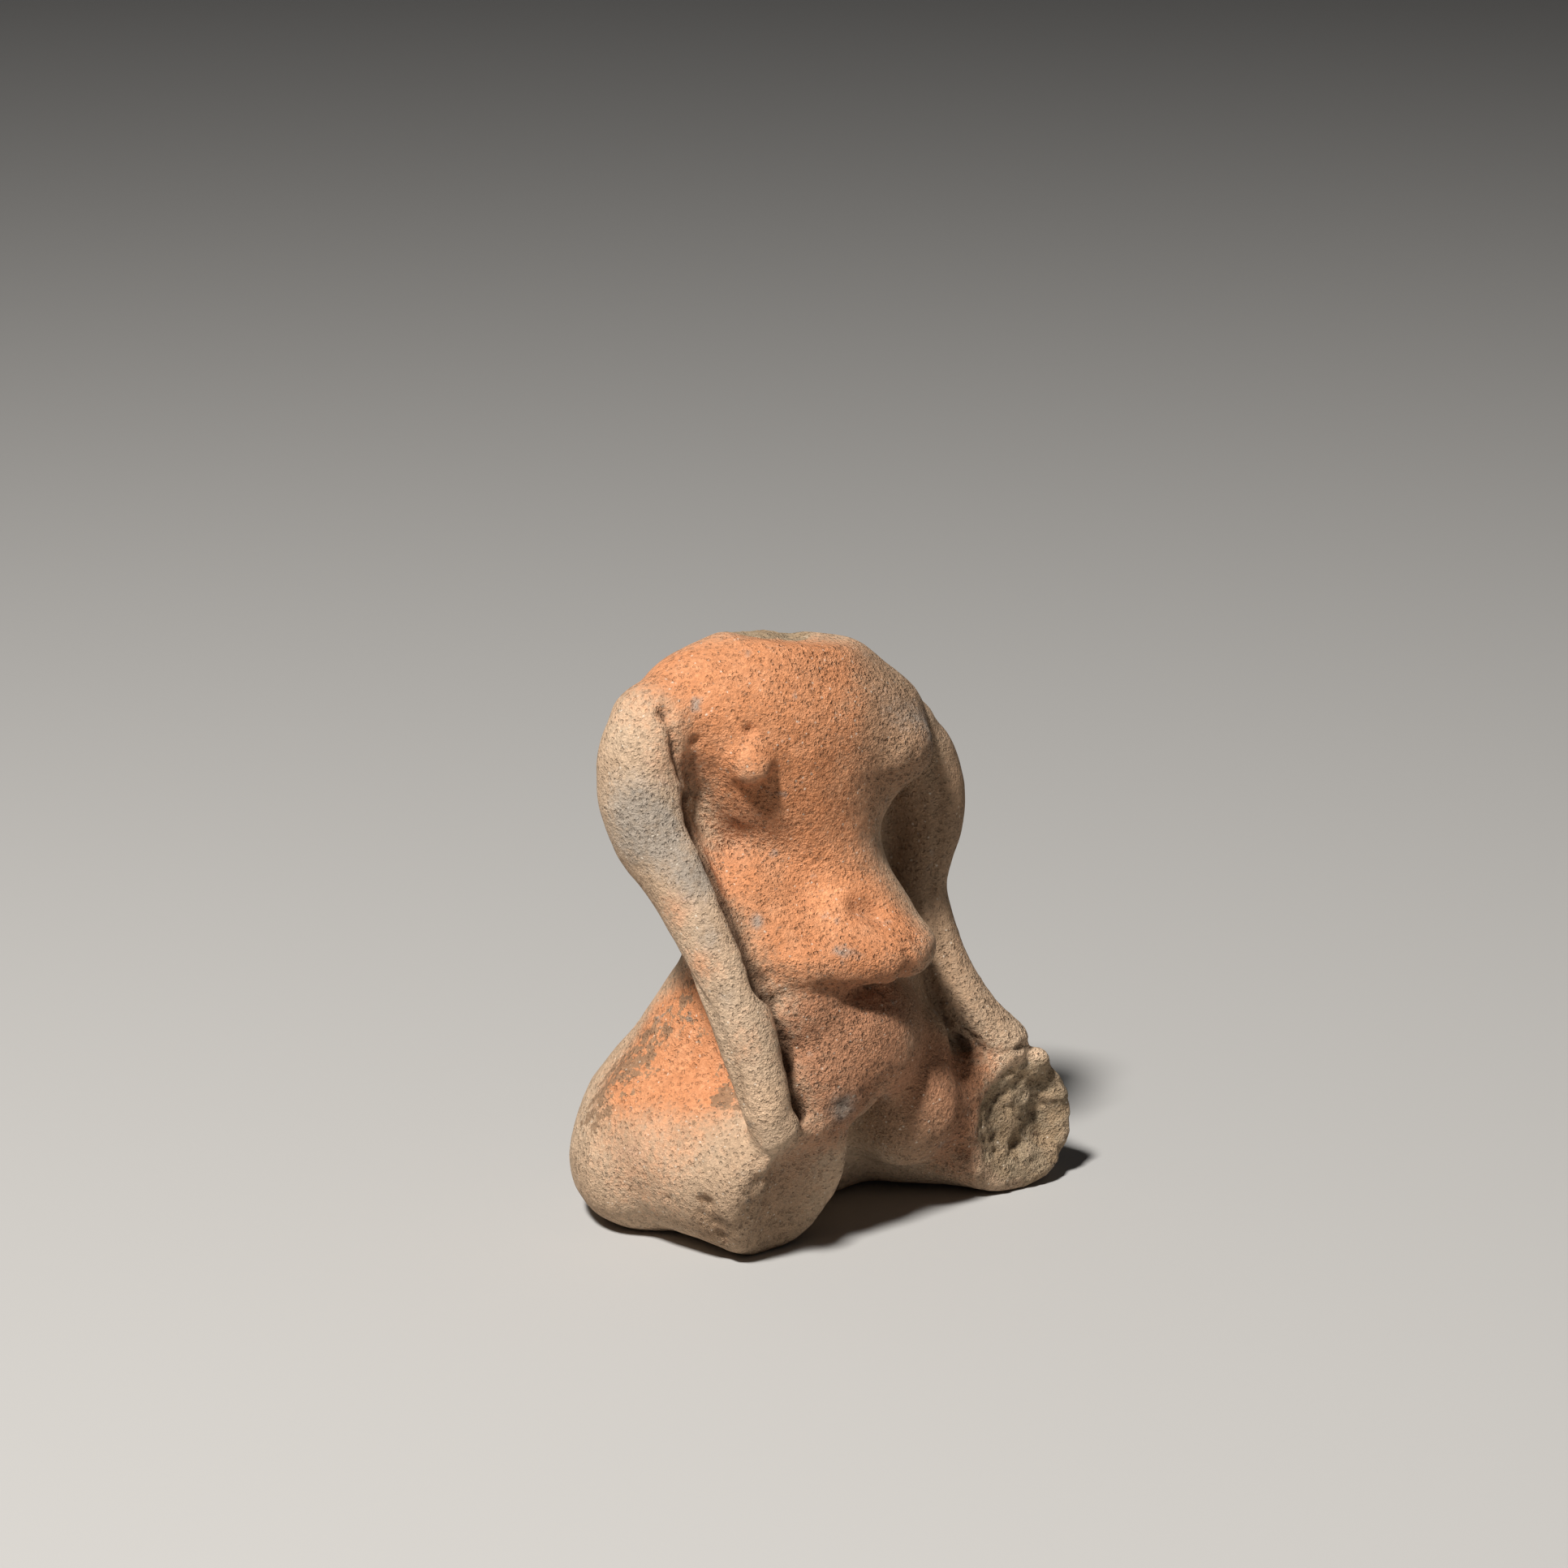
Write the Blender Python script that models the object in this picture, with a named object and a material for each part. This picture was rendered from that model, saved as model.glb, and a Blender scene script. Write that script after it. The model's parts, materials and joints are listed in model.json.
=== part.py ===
"""A headless seated female statuette of fired clay, hand-modelled, as one solid.

The figure faces -Y and its left side is +X. It sits on the floor z = 0 with its thighs forward, its long
arms pressed to its sides and its hands on its knees. The head and the lower legs are broken away.
"""

import math

import bmesh
import bpy
import numpy as np
from mathutils import Euler, Matrix, Vector, noise

HEIGHT = 0.0731  # floor to the top of the broken neck
MM = HEIGHT / 73.1  # one millimetre of the figure; every form below is in these, so it is a share of HEIGHT

RING_POINTS = 48  # points round each section of a lump of clay
RING_STEP = 1.5  # distance between sections, in MM
CLAY_VOXEL = 0.6  # grain of the skin that melts lumps into one, in MM
BODY_SMOOTHING = 30  # passes that melt the lumps of the body into each other
SEAM_SMOOTHING = 3  # passes that soften the seams of the arms, which were pressed on last
TRIANGLES = 9000  # of the finished solid

# Torso, floor to neck: (height, across, along, half width, front, back, squareness, lean, turn).
# Lean raises the figure's right side and turn faces it to its right, both in degrees.
TORSO = [
    (-1.5, 0.5, 6.0, 17.0, 4.0, 8.0, 2.1, 0, 0),
    (0.0, 0.5, 6.0, 22.0, 8.0, 12.5, 2.1, 0, 0),
    (3.5, 0.5, 6.0, 26.0, 10.5, 16.5, 2.1, 0, 0),
    (8.0, 0.5, 6.0, 26.8, 13.0, 17.5, 2.1, 0, 0),
    (13.0, 0.8, 6.0, 25.4, 15.5, 17.0, 2.1, 0, 0),
    (17.5, 1.0, 5.5, 22.6, 16.5, 16.0, 2.1, 0, 0),
    (22.0, 1.5, 4.5, 19.2, 17.0, 14.2, 2.1, 0, 0),
    (26.5, 1.8, 3.0, 17.2, 16.0, 12.8, 2.1, 0, 0),
    (30.5, 1.6, 2.0, 14.8, 14.6, 11.4, 2.1, 0, 0),
    (32.6, 1.2, 1.5, 14.2, 15.6, 10.6, 2.1, 0, 0),
    (34.3, 0.8, 1.0, 14.0, 18.2, 10.0, 2.1, 0, 0),
    (37.0, 0.5, 0.5, 13.4, 18.2, 9.5, 2.1, 0, 0),
    (40.5, 0.2, 0.2, 12.3, 14.8, 8.8, 2.1, 0, 0),
    (44.5, 0.0, 0.0, 11.0, 11.6, 8.2, 2.1, 0, 0),
    (48.5, -0.2, 0.0, 11.2, 10.8, 8.0, 2.0, 1, -4),
    (53.0, -0.6, 0.2, 15.0, 11.0, 8.0, 2.0, 4, -8),
    (58.0, -1.0, 0.4, 18.4, 11.4, 8.4, 2.0, 6, -10),
    (63.0, -1.2, 0.5, 19.6, 11.0, 8.6, 2.1, 8, -9),
    (66.5, -0.9, 0.6, 18.2, 9.8, 8.2, 2.1, 9, -8),
    (69.0, -0.4, 0.6, 14.2, 8.0, 7.2, 2.1, 10, -7),
    (71.9, 0.3, 0.6, 9.2, 6.0, 5.0, 2.0, 9.5, -8),
]

# Arms, shoulder to hand: (across, along, height, half width, half depth).
RIGHT_ARM = [
    (-18.6, 1.6, 65.0, 3.4, 4.2),
    (-20.8, 1.6, 62.4, 4.7, 5.2),
    (-21.8, 1.4, 57.2, 5.2, 5.6),
    (-21.5, -1.0, 51.1, 5.0, 5.2),
    (-20.5, -5.2, 46.1, 4.4, 4.8),
    (-19.5, -9.2, 39.9, 4.0, 4.2),
    (-18.5, -11.7, 33.4, 3.7, 3.8),
    (-17.6, -14.0, 26.9, 3.4, 3.6),
    (-17.0, -15.8, 20.8, 3.0, 3.2),
    (-16.4, -16.2, 16.5, 2.4, 2.4),
]
LEFT_ARM = [
    (16.0, -0.4, 57.5, 3.2, 4.0),
    (19.0, -0.7, 54.6, 4.5, 4.8),
    (20.7, -1.0, 49.3, 4.9, 5.0),
    (20.6, -1.1, 45.2, 4.6, 4.8),
    (19.8, -0.7, 40.1, 4.0, 4.2),
    (19.3, -1.2, 36.1, 3.6, 3.8),
    (19.6, -3.3, 31.3, 3.4, 3.6),
    (20.2, -6.0, 26.4, 3.3, 3.4),
    (21.8, -9.8, 21.4, 3.4, 3.1),
    (24.2, -13.0, 18.8, 3.3, 2.6),
    (25.7, -14.6, 17.9, 1.9, 1.5),
]

# Breasts, chest to tip, in the same columns as the arms.
RIGHT_BREAST = [
    (-12.0, -6.4, 59.8, 2.9, 2.7),
    (-12.5, -8.2, 59.6, 1.8, 1.7),
    (-12.9, -9.6, 59.3, 0.8, 0.8),
]
LEFT_BREAST = [
    (8.0, -3.0, 59.0, 7.6, 7.0),
    (9.0, -7.6, 57.8, 6.6, 5.8),
    (10.0, -11.6, 56.6, 3.4, 3.0),
]

# The clay that closes the gap behind the right arm, from the ribs to the thigh, in the same columns.
RIGHT_SEAM = [
    (-16.0, 3.0, 54.0, 3.0, 3.0),
    (-15.2, 0.0, 48.0, 3.2, 3.2),
    (-14.8, -3.8, 42.5, 3.4, 3.6),
    (-14.6, -7.2, 37.0, 3.4, 3.8),
    (-14.4, -9.5, 31.0, 3.2, 3.6),
    (-14.0, -10.5, 24.0, 3.0, 3.4),
]

# The lip under the belly, right to left, in the same columns again.
BELLY_LIP = [
    (-15.0, -8.0, 35.9, 1.8, 1.9),
    (-9.0, -13.4, 35.5, 2.4, 2.5),
    (-3.0, -16.0, 35.2, 2.8, 2.8),
    (2.6, -16.9, 35.2, 3.2, 3.1),
    (7.4, -14.2, 35.2, 3.0, 3.0),
    (10.6, -9.0, 34.9, 2.0, 2.0),
]

# Thighs, hip to knee: (across, along, height, half width, half height).
RIGHT_THIGH = [
    (-12.0, 8.0, 11.0, 13.0, 12.0),
    (-13.0, -2.0, 10.2, 11.8, 10.8),
    (-12.8, -9.0, 9.4, 10.4, 10.0),
    (-12.2, -14.8, 8.4, 9.0, 9.8),
]
LEFT_THIGH = [
    (12.0, 8.0, 11.0, 13.0, 12.0),
    (17.0, -3.0, 10.2, 11.4, 10.6),
    (21.5, -10.0, 9.3, 9.4, 9.4),
    (23.8, -15.6, 8.8, 8.9, 9.2),
]

# Breaks: the way each faces, how hollow it is and how uneven, both in MM.
NECK_BREAK = ((0.2, 0.1, 1.0), 0.8, 0.8)
RIGHT_KNEE_BREAK = ((0.0, -0.93, -0.36), 0.7, 1.0)
LEFT_KNEE_BREAK = ((-0.05, -1.0, 0.08), 1.0, 1.2)
BREAK_STEPS = 9  # rings from the rim of a break to its middle

# Rounded lumps: name, (across, along, height), (half width, half depth, half height).
LUMPS = [
    ("right shoulder", (-19.6, 1.6, 63.6), (5.4, 5.6, 5.6)),
    ("left shoulder", (16.6, -0.4, 56.5), (5.6, 5.2, 5.6)),
    ("right flank", (-13.6, 0.5, 45.0), (4.6, 3.6, 10.0)),
    ("right waist", (-10.4, -4.9, 39.4), (6.6, 6.0, 9.0)),
    ("left flank", (14.0, 3.0, 46.0), (5.0, 3.5, 11.0)),
    ("left hip", (13.5, 0.5, 26.0), (7.5, 7.0, 10.0)),
    ("belly", (2.4, -11.6, 36.0), (6.5, 7.4, 4.2)),
    ("lower belly", (-1.0, -5.2, 23.6), (13.6, 13.6, 10.8)),
    ("lap", (-6.2, -10.4, 20.8), (8.8, 8.4, 7.4)),
    ("upper lap", (-6.8, -8.6, 29.3), (8.8, 7.4, 5.6)),
    ("left inner thigh", (9.6, -9.4, 13.6), (7.4, 8.0, 8.4)),
    ("left groin", (10.5, -7.0, 20.0), (7.0, 7.0, 6.0)),
    ("right buttock", (-9.4, 11.0, 8.6), (11.4, 12.8, 11.6)),
    ("left buttock", (10.4, 11.0, 8.6), (11.4, 12.8, 11.6)),
]

CLEFT = ((1.4, -14.0, 9.5), (2.4, 6.5, 9.5))  # the hollow between the thighs, placed and sized like a lump


def smooth_rows(rows, step):
    """Rows of numbers joined by a Catmull-Rom curve, read about every step along its first three columns."""
    rows = np.array(rows, float)
    padded = np.vstack([2 * rows[0] - rows[1], rows, 2 * rows[-1] - rows[-2]])
    read = [rows[0]]
    for a, b, c, d in zip(padded, padded[1:], padded[2:], padded[3:]):
        count = max(2, round(np.linalg.norm(c[:3] - b[:3]) / step))
        for t in np.arange(1, count + 1) / count:
            bend = 2 * a - 5 * b + 4 * c - d
            cube = 3 * b - a - 3 * c + d
            read.append(0.5 * (2 * b + (c - a) * t + bend * t**2 + cube * t**3))
    return np.array(read)


def skin(body, rings):
    """One closed lump: each ring of points joined to the next by a band of faces, with a lid at both ends."""
    loops = [[body.verts.new(Vector(p) * MM) for p in ring] for ring in rings]
    for one, two in zip(loops, loops[1:]):
        for i in range(len(one)):
            j = (i + 1) % len(one)
            body.faces.new((one[i], one[j], two[j], two[i]))
    body.faces.new(loops[0][::-1])
    body.faces.new(loops[-1])


def oval(half_width, front, back, squareness):
    """Points round a level section: a rounded oval, with its own depth before and behind its centre."""
    turn = np.arange(RING_POINTS) * 2 * np.pi / RING_POINTS
    across = np.cos(turn)
    along = np.sin(turn)
    x = np.sign(across) * np.abs(across) ** (2 / squareness) * half_width
    y = np.sign(along) * np.abs(along) ** (2 / squareness)
    y = y * np.where(along < 0, front, back)
    return np.stack([x, y, np.zeros(RING_POINTS)], axis=1)


def broken_end(ring, facing, hollow, unevenness):
    """Rings from the rim of a break to its middle: hollow there, and uneven between."""
    facing = np.array(Vector(facing).normalized())
    middle = ring.mean(axis=0)
    rings = []
    for share in np.linspace(1, 0, BREAK_STEPS + 1)[1:-1]:
        flat = middle + (ring - middle) * share
        depth = [hollow * (1 - share**2) + unevenness * (1 - share**4) * noise.noise(Vector(p) * 0.28) for p in flat]
        rings.append(flat - np.outer(depth, facing))
    return rings


def torso(body):
    rings = []
    for height, across, along, width, front, back, square, lean, turn in smooth_rows(TORSO, RING_STEP):
        tilt = np.array(Euler((0, math.radians(lean), math.radians(turn)), "XYZ").to_matrix())
        rings.append(oval(width, front, back, square) @ tilt.T + (across, along, height))
    rings += broken_end(rings[-1], *NECK_BREAK)
    skin(body, rings)


def limb(body, rows, broken=None):
    """A roll of clay along a path, with an oval section square to it; a broken end faces its own way."""
    rows = smooth_rows(rows, RING_STEP)
    heading = np.gradient(rows[:, :3], axis=0)
    turn = np.arange(RING_POINTS) * 2 * np.pi / RING_POINTS
    rings = []
    for share, (x, y, z, width, depth), way in zip(np.linspace(0, 1, len(rows)), rows, heading):
        way = Vector(way).normalized()
        side = (Vector((1, 0, 0)) - way * way.x).normalized()
        other = way.cross(side)
        ring = np.outer(np.cos(turn) * width, side) + np.outer(np.sin(turn) * depth, other)
        if broken:
            facing = way.lerp(Vector(broken[0]).normalized(), share)
            ring -= np.outer(ring @ np.array(facing), way) / facing.dot(way)
        rings.append(ring + (x, y, z))
    if broken:
        rings += broken_end(rings[-1], *broken)
    skin(body, rings)


def lump(body, centre, radii):
    place = Matrix.LocRotScale(Vector(centre) * MM, None, Vector(radii) * MM)
    bmesh.ops.create_icosphere(body, subdivisions=4, radius=1, matrix=place)


def melt(thing):
    """Makes one skin of overlapping lumps."""
    remesh = thing.modifiers.new("melt", "REMESH")
    remesh.mode = "VOXEL"
    remesh.voxel_size = CLAY_VOXEL * MM


def soften(thing, passes):
    smooth = thing.modifiers.new("soften", "SMOOTH")
    smooth.iterations = passes
    smooth.factor = 0.5


def cut(thing, name, body):
    """Takes away everything inside the given block."""
    block = add_object(name, body)
    block.hide_render = True
    block.display_type = "WIRE"
    loss = thing.modifiers.new(name, "BOOLEAN")
    loss.operation = "DIFFERENCE"
    loss.solver = "EXACT"
    loss.object = block


def facet(thing, triangles):
    """Thins the skin to about the given number of triangles."""
    worked = thing.evaluated_get(bpy.context.evaluated_depsgraph_get())
    count = sum(len(face.vertices) - 2 for face in worked.data.polygons)
    thin = thing.modifiers.new("facet", "DECIMATE")
    thin.ratio = triangles / count
    thin.use_collapse_triangulate = True


def finished(thing):
    """The worked form of an object as a mesh body of its own; the object and its cutters are cleared away."""
    worked = thing.evaluated_get(bpy.context.evaluated_depsgraph_get())
    mesh = bpy.data.meshes.new_from_object(worked)
    for old in [thing] + [step.object for step in thing.modifiers if step.type == "BOOLEAN"]:
        bpy.data.objects.remove(old, do_unlink=True)
    body = bmesh.new()
    body.from_mesh(mesh)
    return body


def torso_and_thighs():
    """The body without its arms: the lumps melted together, the cleft pressed in and all of it softened."""
    body = bmesh.new()
    torso(body)
    limb(body, RIGHT_THIGH, RIGHT_KNEE_BREAK)
    limb(body, LEFT_THIGH, LEFT_KNEE_BREAK)
    limb(body, BELLY_LIP)
    limb(body, RIGHT_SEAM)
    limb(body, LEFT_BREAST)
    for name, centre, radii in LUMPS:
        lump(body, centre, radii)
    bmesh.ops.recalc_face_normals(body, faces=body.faces)
    worked = add_object("body", body)
    melt(worked)
    cleft = bmesh.new()
    lump(cleft, *CLEFT)
    cut(worked, "cleft", cleft)
    soften(worked, BODY_SMOOTHING)
    return finished(worked)


def clay():
    """The body with the arms and the right breast pressed on it, still overlapping."""
    body = torso_and_thighs()
    for rows in (RIGHT_ARM, LEFT_ARM, RIGHT_BREAST):
        limb(body, rows)
    bmesh.ops.recalc_face_normals(body, faces=body.faces)
    return body


def floor_block():
    """Everything under the floor, for the flat rubbed on the underside."""
    body = bmesh.new()
    place = Matrix.LocRotScale(Vector((0, 0, -10)) * MM, None, Vector((90, 90, 20)) * MM)
    bmesh.ops.create_cube(body, size=1, matrix=place)
    return body


def add_object(name, body):
    mesh = bpy.data.meshes.new(name)
    body.to_mesh(mesh)
    body.free()
    thing = bpy.data.objects.new(name, mesh)
    bpy.context.scene.collection.objects.link(thing)
    return thing


def terracotta():
    """Fired clay, orange-brown and dull."""
    material = bpy.data.materials.new("terracotta")
    material.use_nodes = True
    surface = material.node_tree.nodes["Principled BSDF"]
    surface.inputs["Base Color"].default_value = (0.42, 0.22, 0.13, 1)
    surface.inputs["Roughness"].default_value = 0.92
    surface.inputs["Metallic"].default_value = 0
    return material


def main():
    for old in list(bpy.data.objects):
        bpy.data.objects.remove(old, do_unlink=True)
    worked = add_object("clay", clay())
    melt(worked)
    soften(worked, SEAM_SMOOTHING)
    facet(worked, TRIANGLES)
    cut(worked, "floor", floor_block())
    body = finished(worked)
    corners = [[pick(v.co[axis] for v in body.verts) for axis in range(3)] for pick in (min, max)]
    middle = (Vector(corners[0]) + Vector(corners[1])) / 2
    bmesh.ops.translate(body, verts=body.verts, vec=(-middle.x, -middle.y, -corners[0][2]))
    figure = add_object("statuette", body)
    figure.data.materials.append(terracotta())


main()
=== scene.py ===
# %% [markdown]
# # A headless seated figure of fired clay
#
# The real thing is about as tall as a finger is long: one lump of coarse, sandy clay, with long rolled arms
# pressed to its sides and a heavy fold under the belly, baked in an open fire. The head and both lower legs
# broke off long ago. The plain part already has its size, outline and pose. This lesson gives it the skin of
# old clay, and everything is fitted to the part, which is loaded first and never moved.

# %% Load the plain part and keep its box
import json
import math

import bmesh
import bpy
import numpy as np
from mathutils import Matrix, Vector

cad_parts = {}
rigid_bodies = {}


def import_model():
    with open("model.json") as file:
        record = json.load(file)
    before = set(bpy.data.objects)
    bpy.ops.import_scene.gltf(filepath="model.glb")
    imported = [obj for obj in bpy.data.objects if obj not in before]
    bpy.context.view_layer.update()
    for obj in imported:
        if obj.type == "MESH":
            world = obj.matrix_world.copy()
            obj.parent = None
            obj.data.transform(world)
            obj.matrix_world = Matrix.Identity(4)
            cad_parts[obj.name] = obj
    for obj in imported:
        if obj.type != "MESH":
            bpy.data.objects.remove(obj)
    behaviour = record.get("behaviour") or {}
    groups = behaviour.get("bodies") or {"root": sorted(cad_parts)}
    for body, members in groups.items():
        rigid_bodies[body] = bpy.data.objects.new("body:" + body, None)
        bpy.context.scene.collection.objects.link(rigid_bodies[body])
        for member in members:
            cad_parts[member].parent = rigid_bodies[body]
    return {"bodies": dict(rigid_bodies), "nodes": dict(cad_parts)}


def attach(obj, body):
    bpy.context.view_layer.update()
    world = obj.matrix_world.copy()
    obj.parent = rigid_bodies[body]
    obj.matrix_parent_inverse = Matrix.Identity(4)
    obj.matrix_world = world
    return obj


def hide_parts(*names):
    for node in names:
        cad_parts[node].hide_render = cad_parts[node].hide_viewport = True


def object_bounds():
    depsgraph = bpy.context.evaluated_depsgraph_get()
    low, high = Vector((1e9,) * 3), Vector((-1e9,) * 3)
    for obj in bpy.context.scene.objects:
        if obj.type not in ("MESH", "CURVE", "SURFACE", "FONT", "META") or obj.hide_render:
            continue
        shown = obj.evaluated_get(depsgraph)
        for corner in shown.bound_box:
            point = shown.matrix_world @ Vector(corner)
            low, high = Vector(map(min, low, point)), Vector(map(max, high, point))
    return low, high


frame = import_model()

part_box = [list(corner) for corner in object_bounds()]
part = frame["nodes"]["statuette"]
kept = set(frame["nodes"].values()) | set(frame["bodies"].values())
for thing in list(bpy.data.objects):
    if thing not in kept:
        bpy.data.objects.remove(thing, do_unlink=True)
MM = 0.001  # shapes are worked in millimetres, and Blender's unit is the metre
print("the plain part spans, in mm:", [round((b - a) / MM, 1) for a, b in zip(*part_box)])

# %% [markdown]
# ## An even skin
#
# The part's faces are few and uneven, so they can't hold pits and seams. A subdivision would keep that
# unevenness. A voxel remesh wraps the same form in squares of one size instead, small enough for every mark
# that a fingertip would feel, and still under two hundred thousand triangles.

# %% Wrap the part in even squares
SKIN_GRAIN = 0.425  # side of a square of the skin, in mm


def even_skin(source, grain):
    """A copy of an object's mesh with its loose corners merged, wrapped in squares of the given size."""
    body = bmesh.new()
    body.from_mesh(source.data)
    bmesh.ops.remove_doubles(body, verts=body.verts, dist=1e-6)
    rough_copy = bpy.data.meshes.new("rough copy")
    body.to_mesh(rough_copy)
    body.free()
    draft = bpy.data.objects.new("draft", rough_copy)
    bpy.context.scene.collection.objects.link(draft)
    wrap = draft.modifiers.new("even squares", "REMESH")
    wrap.mode = "VOXEL"
    wrap.voxel_size = grain * MM
    made = bpy.data.meshes.new_from_object(draft.evaluated_get(bpy.context.evaluated_depsgraph_get()))
    bpy.data.objects.remove(draft, do_unlink=True)
    made.name = "clay_skin"
    return made


skin = even_skin(part, SKIN_GRAIN)
triangles = sum(len(face.vertices) - 2 for face in skin.polygons)
print("the skin has", len(skin.vertices), "points and", triangles, "triangles")

# %% [markdown]
# ## Reading and writing the skin as arrays
#
# All shaping below is arithmetic on whole arrays: one row for each point of the skin. That is quick, and each
# formula can be read on its own. Two helpers are enough: the way each point faces, and the mean of its
# neighbours, which is how a wet thumb evens out clay.

# %% Points, edges, facing and neighbours
count = len(skin.vertices)
points = np.empty(count * 3)
skin.vertices.foreach_get("co", points)
points = points.reshape(count, 3) / MM
edges = np.empty(len(skin.edges) * 2, int)
skin.edges.foreach_get("vertices", edges)
one, other = edges.reshape(-1, 2).T
partners = np.bincount(one, minlength=count) + np.bincount(other, minlength=count)


def facing(places):
    """The way the skin faces at each point, as Blender works it out once the points are in the mesh."""
    skin.vertices.foreach_set("co", (places * MM).ravel())
    skin.update()
    ways = np.empty(count * 3)
    skin.vertex_normals.foreach_get("vector", ways)
    return ways.reshape(count, 3)


def thumbed(values, passes):
    """Each value moved half way to the mean of its neighbours, again and again."""
    for _ in range(passes):
        sums = [
            np.bincount(one, column[other], count) + np.bincount(other, column[one], count)
            for column in values.T
        ]
        values = (values + np.stack(sums, axis=1) / partners[:, None]) / 2
    return values


def step(values, start, end):
    """0 before start, 1 after end and the smooth curve 3t^2 - 2t^3 between them."""
    t = np.clip((values - start) / (end - start), 0, 1)
    return t * t * (3 - 2 * t)


# %% Rub away the flat faces
FACET_RUB = 9  # passes: enough to lose the part's flat faces and no more


def rubbed(places, passes):
    """Smoothed twice over and stepped back by as much, so that the large forms keep their fullness."""
    soft = thumbed(places, passes)
    return 2 * soft - thumbed(soft, passes)


underside = points[:, 2] < 0.02
points = rubbed(points, FACET_RUB)
points[underside, 2] = 0
print("facets rubbed away;", underside.sum(), "points lie on the underside")

# %% [markdown]
# ## Chance that stays the same
#
# Clay is full of chance: sand, pores, thumb marks. A random number generator would work point by point in
# order. A fixed scramble of a point's own place gives the same answer on every run, wherever the point comes
# in the list, so the pits stay where they are when the skin changes.

# %% Soft hills and scattered seeds
def scramble(cell, seed):
    """A fixed number from 0 to 1 for each whole-number cell: its counts times large odd numbers, folded."""
    cell = cell.astype(np.int64).astype(np.uint64)
    mixed = cell[..., 0] * np.uint64(73856093) ^ cell[..., 1] * np.uint64(19349663)
    mixed ^= cell[..., 2] * np.uint64(83492791) ^ np.uint64(seed * 2654435761 + 97)
    for _ in range(2):
        mixed = (mixed ^ (mixed >> np.uint64(15))) * np.uint64(0x9E3779B97F4A7C15)
    return ((mixed >> np.uint64(40)) & np.uint64(0xFFFF)) / 0xFFFF


def hills(places, size, seed):
    """Soft hills, -1 to 1: the eight corner numbers of each point's cell, mixed by 6t^5 - 15t^4 + 10t^3."""
    spot = places / size
    cell = np.floor(spot)
    t = spot - cell
    t = t**3 * (t * (t * 6 - 15) + 10)
    height = 0
    for corner in np.ndindex(2, 2, 2):
        share = np.prod(np.where(corner, t, 1 - t), axis=1)
        height = height + share * scramble(cell + corner, seed)
    return height * 2 - 1


def broken_hills(places, size, seed, layers=3):
    """Hills with smaller hills on them: each layer has 0.5 of the size and 0.55 of the height of the last."""
    return sum(hills(places, size / 2**k, seed + k) * 0.55**k for k in range(layers))


def seeds(places, size, seed):
    """Distance to the nearest of seeds scattered one to a cell, and that seed's own number from 0 to 1."""
    spot = places / size
    cell = np.floor(spot)
    near = np.full(len(places), 9.0)
    own = np.zeros(len(places))
    for around in np.ndindex(3, 3, 3):
        home = cell + around - 1
        place = home + np.stack([scramble(home, seed + k) for k in range(3)], axis=1)
        far = np.linalg.norm(spot - place, axis=1)
        own = np.where(far < near, scramble(home, seed + 3), own)
        near = np.minimum(near, far)
    return near * size, own


print("hills reach from", hills(points, 5, 1).min().round(2), "to", hills(points, 5, 1).max().round(2))

# %% [markdown]
# ## Marks of the hand
#
# The arms were rolled and pressed on last, so a deep seam runs down beside each; its darkness is painted
# shade, added with the colours. The belly was folded over the lap. These valleys are in the part already, only
# soft.
# Each seam is drawn along a path, and the skin near the path is measured for hollows, which are pressed deeper
# too. That way a seam can't miss its valley. The last two paths are ridges, so they are raised and not
# pressed.

# %% Press the seams deeper
ARM_SEAM_TOP = [
    (-24.4, -4.5, 66.5), (-24.2, -5.4, 64.5), (-23.2, -5.7, 61.0),
    (-21.9, -5.4, 57.7), (-21.2, -6.2, 54.4),
]
ARM_SEAM_DEEP = [
    (-20.7, -5.8, 54.4), (-20.9, -7.8, 51.0), (-21.1, -9.9, 47.8), (-20.8, -11.8, 44.5),
    (-20.2, -13.4, 41.5), (-19.6, -14.6, 38.5), (-18.6, -15.5, 35.4),
]
ARM_SEAM_LOW = [
    (-19.3, -16.1, 35.4), (-16.9, -15.4, 31.2), (-15.7, -15.9, 27.6), (-15.2, -16.7, 24.7),
    (-15.1, -18.1, 21.6), (-14.8, -18.6, 18.9),
]
ARM_OUTER_SEAM = [
    (-25.4, -9.2, 37.5), (-25.2, -11.4, 35.1), (-25.1, -13.3, 33.1), (-24.5, -15.0, 30.4),
    (-23.9, -16.5, 27.2), (-23.4, -17.2, 24.3), (-23.0, -17.4, 21.2),
]
LEFT_ARM_SEAM = [
    (14.2, -6.0, 61.5), (15.3, -7.0, 56.0), (16.2, -7.7, 50.0), (16.2, -7.4, 43.4),
    (15.6, -7.0, 36.5), (15.4, -9.7, 29.5), (15.4, -11.8, 24.3), (16.2, -13.4, 20.0),
]
LEFT_HAND_EDGE = [
    (15.8, -12.8, 20.8), (16.6, -14.1, 19.4), (17.5, -15.6, 18.3), (18.9, -16.9, 18.1),
    (20.6, -17.6, 18.4), (21.9, -17.4, 18.8), (23.0, -15.6, 18.6),
]
BELLY_FOLD = [
    (-11.0, -17.4, 33.6), (-7.2, -18.6, 33.4), (-3.6, -18.6, 32.6), (0.5, -17.4, 32.2),
    (4.5, -15.0, 32.0),
]
CROTCH = [(-3.4, -19.0, 20.4), (-2.4, -17.4, 17.5), (-1.5, -14.4, 14.5)]
KNEE_RIDGE = [
    (-16.2, -18.9, 18.9), (-18.8, -20.1, 17.8), (-20.6, -19.6, 15.8), (-20.4, -18.6, 13.5),
    (-20.3, -17.4, 11.0), (-20.7, -16.3, 8.0), (-21.3, -15.2, 5.0), (-21.4, -14.2, 2.6),
]
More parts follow.
